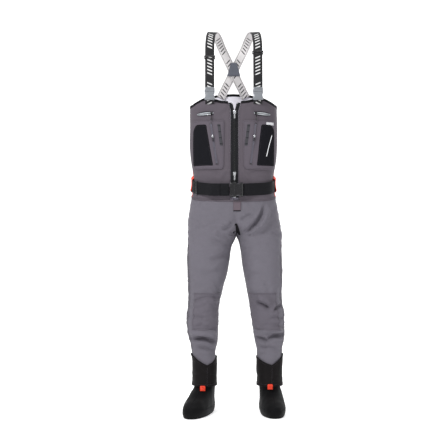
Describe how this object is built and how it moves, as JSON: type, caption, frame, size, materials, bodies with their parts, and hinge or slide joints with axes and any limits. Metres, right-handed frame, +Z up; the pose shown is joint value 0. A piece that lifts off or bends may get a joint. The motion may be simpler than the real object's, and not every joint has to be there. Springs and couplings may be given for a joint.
{
  "type": "chest waders",
  "caption": "Stockingfoot chest waders: zipped bib with pockets, belt, crossed suspenders, legs with gravel guards and neoprene socks.",
  "frame": {"origin": "on the floor under the middle of the object's bounding box", "axes": "+Z up, -Y the way the wearer faces, +X to the wearer's left"},
  "size_m": [0.4228, 0.3163, 1.5892],
  "materials": {
    "bib_fabric": "matte",
    "black_panel": "matte",
    "black_plastic": "satin",
    "cross_patch": "matte",
    "fly_fabric": "matte",
    "grey_buckle": "gloss",
    "guard_neoprene": "matte",
    "knee_fabric": "matte",
    "leg_fabric": "matte",
    "orange_panel": "matte",
    "sock_neoprene": "matte",
    "webbing": "matte",
    "zip_metal": "satin",
    "zip_tape": "matte"
  },
  "bodies": {
    "waders": {"belt_socket": "black_plastic", "belt_webbing": "webbing", "bib_back": "bib_fabric", "bib_front_left": "bib_fabric", "bib_front_right": "bib_fabric", "chest_pocket_left": "bib_fabric", "chest_pocket_right": "bib_fabric", "chest_zip_left": "zip_tape", "chest_zip_right": "zip_tape", "cross_patch": "cross_patch", "crotch_gusset": "leg_fabric", "dock_strip_left": "black_panel", "dock_strip_right": "black_panel", "fly_patch": "fly_fabric", "gravel_guard_left": "guard_neoprene", "gravel_guard_right": "guard_neoprene", "knee_patch_left": "knee_fabric", "knee_patch_right": "knee_fabric", "lace_tab_left": "orange_panel", "lace_tab_right": "orange_panel", "leg_back_left": "leg_fabric", "leg_back_right": "leg_fabric", "leg_front_left": "leg_fabric", "leg_front_right": "leg_fabric", "side_panel_left": "orange_panel", "side_panel_right": "orange_panel", "sock_left": "sock_neoprene", "sock_right": "sock_neoprene", "strap_left_socket": "grey_buckle", "strap_right_socket": "grey_buckle", "strap_tab_left": "webbing", "strap_tab_right": "webbing", "suspender_strap_left": "webbing", "suspender_strap_right": "webbing", "top_zip_left": "zip_tape", "top_zip_right": "zip_tape", "warmer_panel_left": "black_panel", "warmer_panel_right": "black_panel", "zip_tape_left": "zip_tape", "zip_tape_right": "zip_tape"},
    "upper_slider": {"upper_slider": "zip_metal"},
    "upper_pull": {"upper_pull": "zip_metal"},
    "lower_slider": {"lower_slider": "zip_metal"},
    "lower_pull": {"lower_pull": "zip_metal"},
    "chest_right_slider": {"chest_right_slider": "zip_metal"},
    "chest_right_pull": {"chest_right_pull": "black_plastic"},
    "top_right_slider": {"top_right_slider": "zip_metal"},
    "top_right_pull": {"top_right_pull": "black_plastic"},
    "strap_right_tongue": {"strap_right_tongue": "grey_buckle"},
    "strap_adjuster_right": {"strap_adjuster_right": "black_plastic"},
    "lace_hook_right": {"lace_hook_right": "zip_metal"},
    "chest_left_slider": {"chest_left_slider": "zip_metal"},
    "chest_left_pull": {"chest_left_pull": "black_plastic"},
    "top_left_slider": {"top_left_slider": "zip_metal"},
    "top_left_pull": {"top_left_pull": "black_plastic"},
    "strap_left_tongue": {"strap_left_tongue": "grey_buckle"},
    "strap_adjuster_left": {"strap_adjuster_left": "black_plastic"},
    "lace_hook_left": {"lace_hook_left": "zip_metal"},
    "belt_tongue": {"belt_tongue": "black_plastic"}
  },
  "joints": [
    {"name": "upper_slider_run", "type": "slide", "parent": "waders", "child": "upper_slider", "axis": [0, -0.0251, 0.9997], "range_m": [-0.1, 0]},
    {"name": "upper_pull_flip", "type": "hinge", "parent": "upper_slider", "child": "upper_pull", "pos_m": [0.0002, -0.09861, 1.23983], "axis": [-1, 0, 0], "range_deg": [0, 160]},
    {"name": "lower_slider_run", "type": "slide", "parent": "waders", "child": "lower_slider", "axis": [0, -0.0251, 0.9997], "range_m": [0, 0.08]},
    {"name": "lower_pull_flip", "type": "hinge", "parent": "lower_slider", "child": "lower_pull", "pos_m": [0.0002, -0.09233, 0.98983], "axis": [-1, 0, 0], "range_deg": [0, 160]},
    {"name": "chest_right_slider_run", "type": "slide", "parent": "waders", "child": "chest_right_slider", "axis": [-0.1492, -0.001, 0.9888], "range_m": [-0.095, 0.035]},
    {"name": "chest_right_pull_flip", "type": "hinge", "parent": "chest_right_slider", "child": "chest_right_pull", "pos_m": [-0.08974, -0.09445, 1.14232], "axis": [-0.9753, 0.1648, -0.147], "range_deg": [0, 160]},
    {"name": "top_right_slider_run", "type": "slide", "parent": "waders", "child": "top_right_slider", "axis": [-0.9566, 0.2871, -0.0487], "range_m": [0, 0.02]},
    {"name": "top_right_cord_swing", "type": "hinge", "parent": "top_right_slider", "child": "top_right_pull", "pos_m": [-0.09457, -0.09223, 1.23681], "axis": [-0.262, -0.9651, 0], "range_deg": [-60, 60]},
    {"name": "strap_right_release", "type": "slide", "parent": "waders", "child": "strap_right_tongue", "axis": [0, 0.1564, 0.9877], "range_m": [0, 0.03]},
    {"name": "strap_right_adjust", "type": "slide", "parent": "waders", "child": "strap_adjuster_right", "axis": [0, 0.1564, 0.9877], "range_m": [-0.08, 0.025]},
    {"name": "lace_hook_right_flip", "type": "hinge", "parent": "waders", "child": "lace_hook_right", "pos_m": [-0.1308, -0.04088, 0.11403], "axis": [-1, 0, 0], "range_deg": [0, 100]},
    {"name": "chest_left_slider_run", "type": "slide", "parent": "waders", "child": "chest_left_slider", "axis": [0.1221, -0.0067, 0.9925], "range_m": [-0.095, 0.035]},
    {"name": "chest_left_pull_flip", "type": "hinge", "parent": "chest_left_slider", "child": "chest_left_pull", "pos_m": [0.08148, -0.09504, 1.14243], "axis": [-0.9802, -0.1579, 0.1195], "range_deg": [0, 160]},
    {"name": "top_left_slider_run", "type": "slide", "parent": "waders", "child": "top_left_slider", "axis": [0.9566, 0.2871, -0.0487], "range_m": [0, 0.02]},
    {"name": "top_left_cord_swing", "type": "hinge", "parent": "top_left_slider", "child": "top_left_pull", "pos_m": [0.08897, -0.09223, 1.23681], "axis": [0.262, -0.9651, 0], "range_deg": [-60, 60]},
    {"name": "strap_left_release", "type": "slide", "parent": "waders", "child": "strap_left_tongue", "axis": [0, 0.1564, 0.9877], "range_m": [0, 0.03]},
    {"name": "strap_left_adjust", "type": "slide", "parent": "waders", "child": "strap_adjuster_left", "axis": [0, 0.1564, 0.9877], "range_m": [-0.1, 0.01]},
    {"name": "lace_hook_left_flip", "type": "hinge", "parent": "waders", "child": "lace_hook_left", "pos_m": [0.1477, -0.0387, 0.11957], "axis": [-1, 0, 0], "range_deg": [0, 100]},
    {"name": "belt_release", "type": "slide", "parent": "waders", "child": "belt_tongue", "axis": [-1, 0, 0], "range_m": [0, 0.03]}
  ]
}
